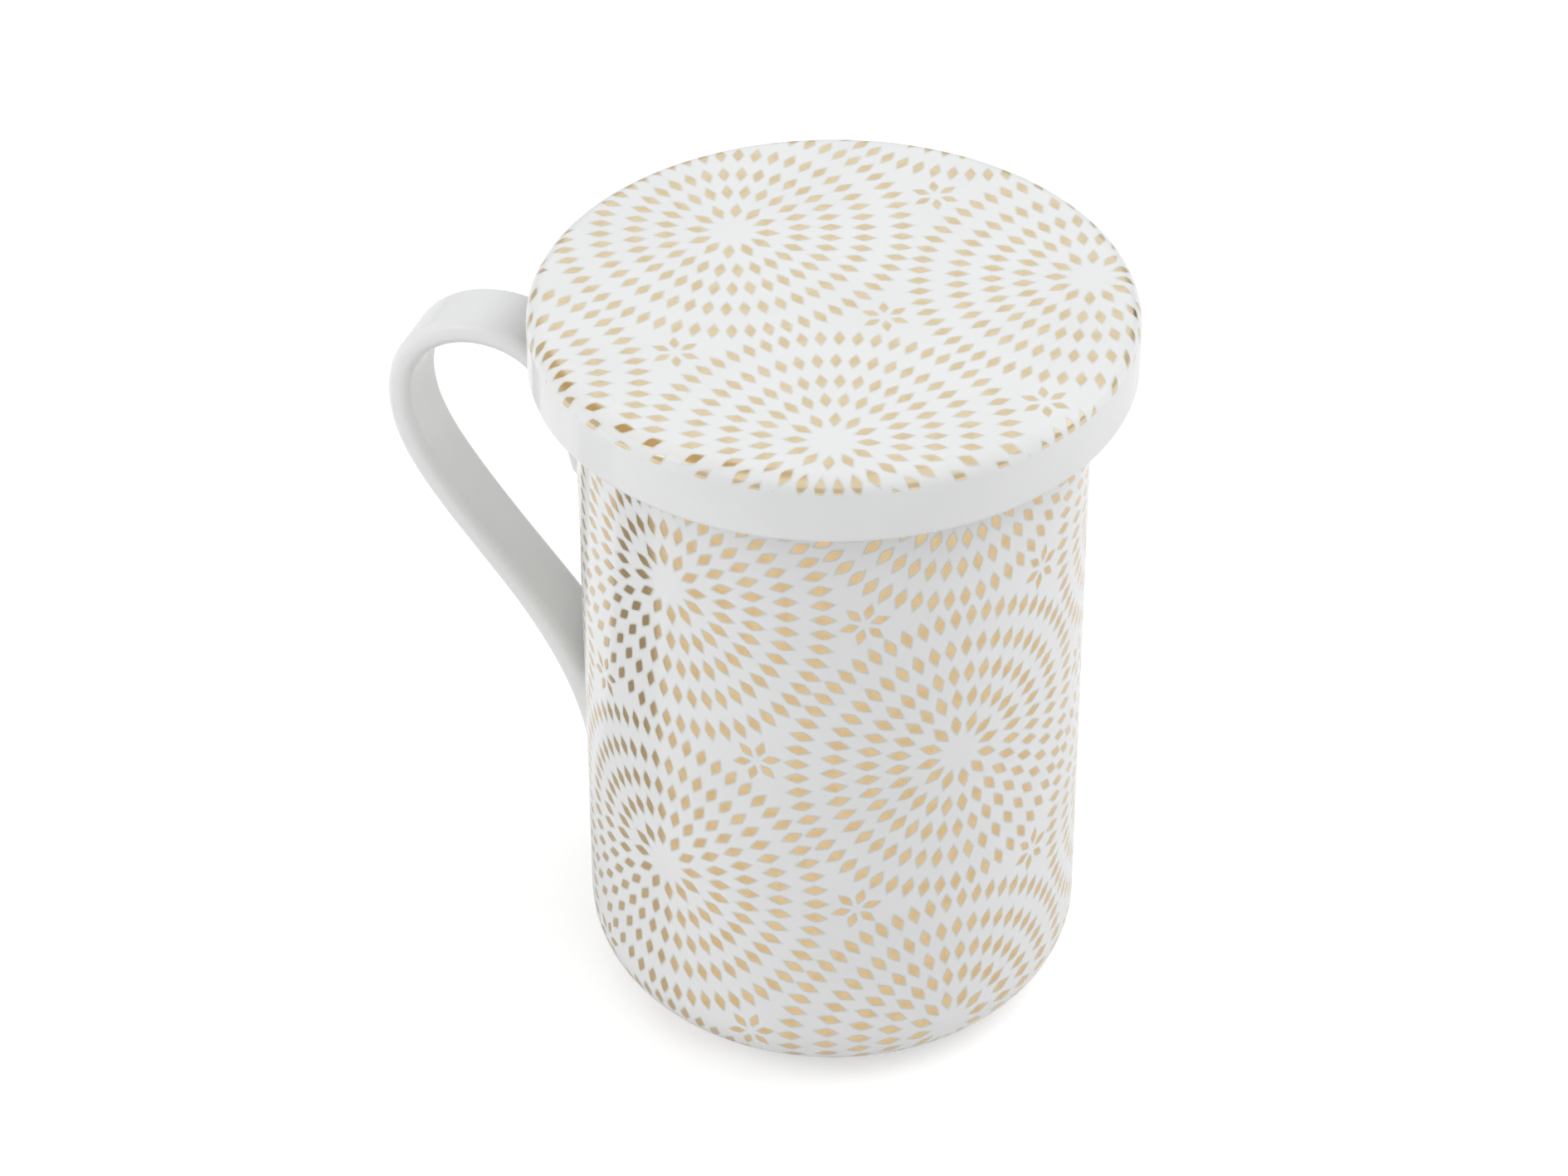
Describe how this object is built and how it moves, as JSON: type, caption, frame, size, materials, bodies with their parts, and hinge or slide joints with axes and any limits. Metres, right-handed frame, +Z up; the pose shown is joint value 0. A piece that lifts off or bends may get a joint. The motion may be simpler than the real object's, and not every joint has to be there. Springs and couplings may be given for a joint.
{
  "type": "lidded tea mug with infuser",
  "caption": "Straight porcelain tea mug with a ribbon handle, a flat overhanging lid and a lift-out perforated steel infuser, printed all over with rings of gold lozenges.",
  "frame": {"origin": "centre of the mug's foot ring, on the surface it stands on", "axes": "+Z up along the mug's axis; the handle lies in the XZ plane on the -X side"},
  "size_m": [0.1144, 0.0892, 0.1208],
  "materials": {
    "mug_porcelain": "clear-glazed white porcelain with a gold lozenge-ring print on the outside",
    "handle_porcelain": "clear-glazed plain white porcelain",
    "lid_porcelain": "clear-glazed white porcelain with a gold lozenge-ring print on the top",
    "infuser_steel": "bright satin stainless steel sheet"
  },
  "bodies": {
    "mug": {"mug_body": "mug_porcelain", "handle": "handle_porcelain"},
    "infuser": {"infuser_brim": "infuser_steel", "infuser_wall": "infuser_steel", "infuser_base": "infuser_steel"},
    "lid": {"lid": "lid_porcelain"}
  },
  "joints": [
    {"name": "infuser_lift", "type": "slide", "parent": "mug", "child": "infuser", "axis": [0, 0, 1], "range_m": [0, 0.08]},
    {"name": "lid_lift", "type": "slide", "parent": "infuser", "child": "lid", "axis": [0, 0, 1], "range_m": [0, 0.04]}
  ]
}
